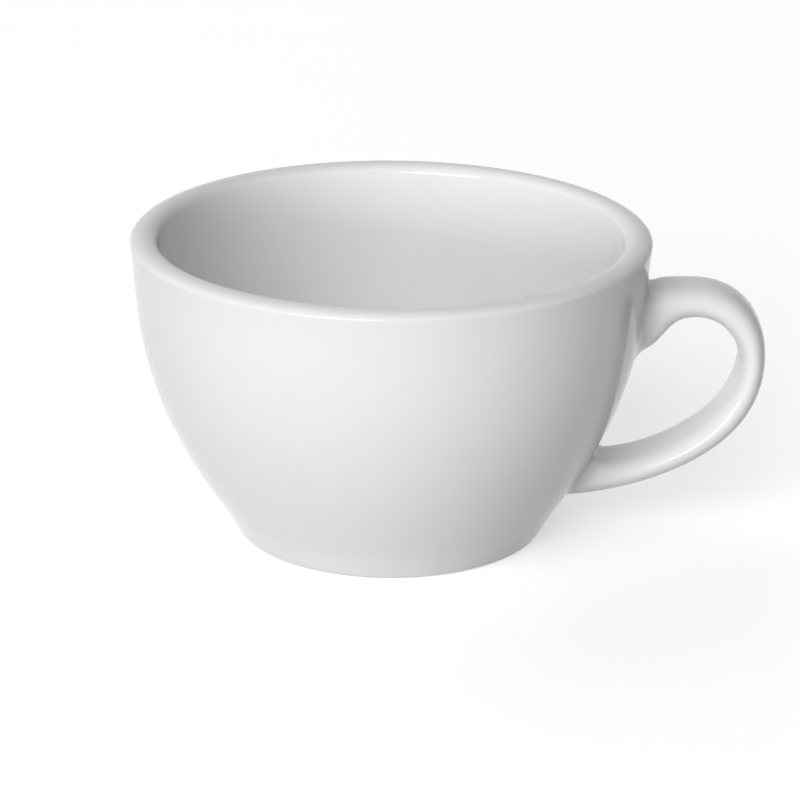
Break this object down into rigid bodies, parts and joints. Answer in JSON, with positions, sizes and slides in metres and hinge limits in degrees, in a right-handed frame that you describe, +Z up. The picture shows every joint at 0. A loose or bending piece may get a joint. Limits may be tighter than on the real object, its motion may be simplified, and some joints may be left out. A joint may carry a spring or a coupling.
{
  "type": "cappuccino cup",
  "caption": "White glazed porcelain cappuccino cup: rounded bowl on a foot ring, thick rolled lip, and an ear-shaped strap handle luted to the wall.",
  "frame": {"origin": "middle of the whole outline, handle included, on the plane the foot ring stands on; the cup's own axis stands 10.65 mm from it towards -X", "axes": "+X towards the handle, +Z up out of the mouth; the object is symmetric about the XZ plane"},
  "size_m": [0.1163, 0.095, 0.0568],
  "materials": {
    "body_glaze": "white gloss glaze on porcelain",
    "handle_glaze": "white gloss glaze on porcelain",
    "joint_glaze": "white gloss glaze over wiped slip"
  },
  "bodies": {
    "root": {"cup_body": "body_glaze", "handle": "handle_glaze", "upper_slip_joint": "joint_glaze", "lower_slip_joint": "joint_glaze"}
  },
  "joints": []
}
